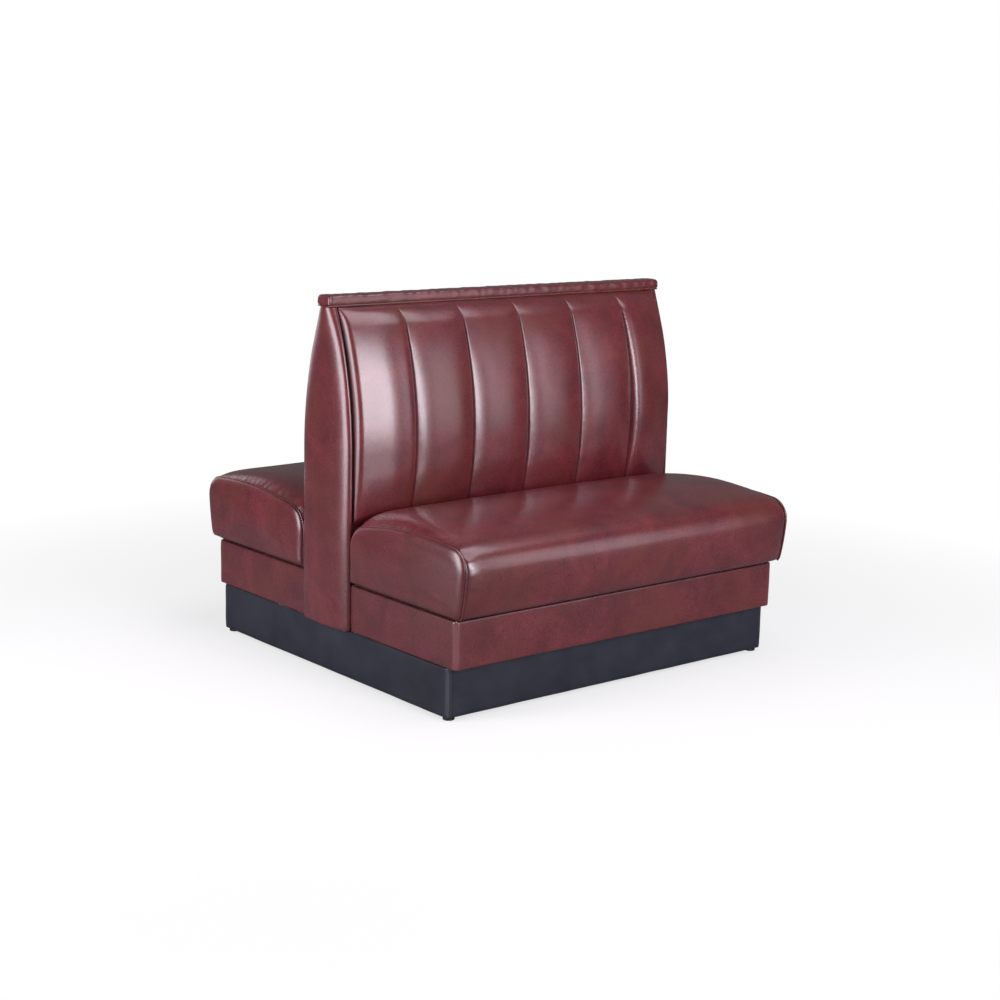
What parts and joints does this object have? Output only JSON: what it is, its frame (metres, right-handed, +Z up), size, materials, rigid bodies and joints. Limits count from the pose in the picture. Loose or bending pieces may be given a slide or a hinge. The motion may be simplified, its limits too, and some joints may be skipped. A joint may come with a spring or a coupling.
{
  "type": "double restaurant booth",
  "caption": "Double-sided restaurant booth: two crowned vinyl seats back to back on boxes and a black plinth, with channelled inside backs, padded ends and a top cap.",
  "frame": {"origin": "on the floor under the middle of the booth, at the bottom of the glides", "axes": "+Z up, +X along the seats, -Y towards the front seat and +Y towards the rear seat"},
  "size_m": [1.236, 1.2734, 1.067],
  "materials": {
    "burgundy_vinyl": "glossy marbled upholstery vinyl",
    "black_vinyl": "satin",
    "plywood": "raw",
    "hardwood": "raw",
    "webbing": "woven",
    "dust_cloth": "non-woven",
    "zinc_steel": "zinc plated",
    "black_nylon": "satin"
  },
  "bodies": {
    "booth_frame": {"back_left_rib": "plywood", "back_middle_ribs": "plywood", "back_right_rib": "plywood", "back_side_welts": "burgundy_vinyl", "back_sill_rails": "plywood", "back_top_rail": "plywood", "back_waist_rails": "plywood", "box_bolts": "zinc_steel", "cap_board": "plywood", "cap_pad": "burgundy_vinyl", "cap_screws": "zinc_steel", "cap_welt": "burgundy_vinyl", "front_apron_cover": "burgundy_vinyl", "front_back_cushion": "burgundy_vinyl", "front_back_panel": "plywood", "front_box_corner_blocks": "hardwood", "front_box_end_rails": "plywood", "front_box_ledger": "hardwood", "front_box_rail": "plywood", "glide_inserts": "zinc_steel", "left_end_board": "plywood", "left_end_pad": "burgundy_vinyl", "plinth_corner_posts": "hardwood", "plinth_cover": "black_vinyl", "plinth_cross_rails": "hardwood", "plinth_front_rail": "plywood", "plinth_left_rail": "plywood", "plinth_rear_rail": "plywood", "plinth_right_rail": "plywood", "rear_apron_cover": "burgundy_vinyl", "rear_back_cushion": "burgundy_vinyl", "rear_back_panel": "plywood", "rear_box_corner_blocks": "hardwood", "rear_box_end_rails": "plywood", "rear_box_ledger": "hardwood", "rear_box_rail": "plywood", "right_end_board": "plywood", "right_end_pad": "burgundy_vinyl"},
    "front_seat": {"front_seat_bottom_welt": "burgundy_vinyl", "front_seat_cleats": "hardwood", "front_seat_cushion": "burgundy_vinyl", "front_seat_dust_cloth": "dust_cloth", "front_seat_end_rails": "hardwood", "front_seat_end_welts": "burgundy_vinyl", "front_seat_long_rails": "hardwood", "front_seat_webbing": "webbing"},
    "front_left_glide": {"glide_front_left": "black_nylon"},
    "front_right_glide": {"glide_front_right": "black_nylon"},
    "rear_left_glide": {"glide_rear_left": "black_nylon"},
    "rear_right_glide": {"glide_rear_right": "black_nylon"},
    "rear_seat": {"rear_seat_bottom_welt": "burgundy_vinyl", "rear_seat_cleats": "hardwood", "rear_seat_cushion": "burgundy_vinyl", "rear_seat_dust_cloth": "dust_cloth", "rear_seat_end_rails": "hardwood", "rear_seat_end_welts": "burgundy_vinyl", "rear_seat_long_rails": "hardwood", "rear_seat_webbing": "webbing"}
  },
  "joints": [
    {"name": "front_seat_lift", "type": "slide", "parent": "booth_frame", "child": "front_seat", "axis": [0, -0.7071, 0.7071], "range_m": [0, 0.35]},
    {"name": "rear_seat_lift", "type": "slide", "parent": "booth_frame", "child": "rear_seat", "axis": [0, 0.7071, 0.7071], "range_m": [0, 0.35]},
    {"name": "front_left_glide_height", "type": "slide", "parent": "booth_frame", "child": "front_left_glide", "axis": [0, 0, -1], "range_m": [0, 0.012]},
    {"name": "front_right_glide_height", "type": "slide", "parent": "booth_frame", "child": "front_right_glide", "axis": [0, 0, -1], "range_m": [0, 0.012]},
    {"name": "rear_left_glide_height", "type": "slide", "parent": "booth_frame", "child": "rear_left_glide", "axis": [0, 0, -1], "range_m": [0, 0.012]},
    {"name": "rear_right_glide_height", "type": "slide", "parent": "booth_frame", "child": "rear_right_glide", "axis": [0, 0, -1], "range_m": [0, 0.012]}
  ]
}
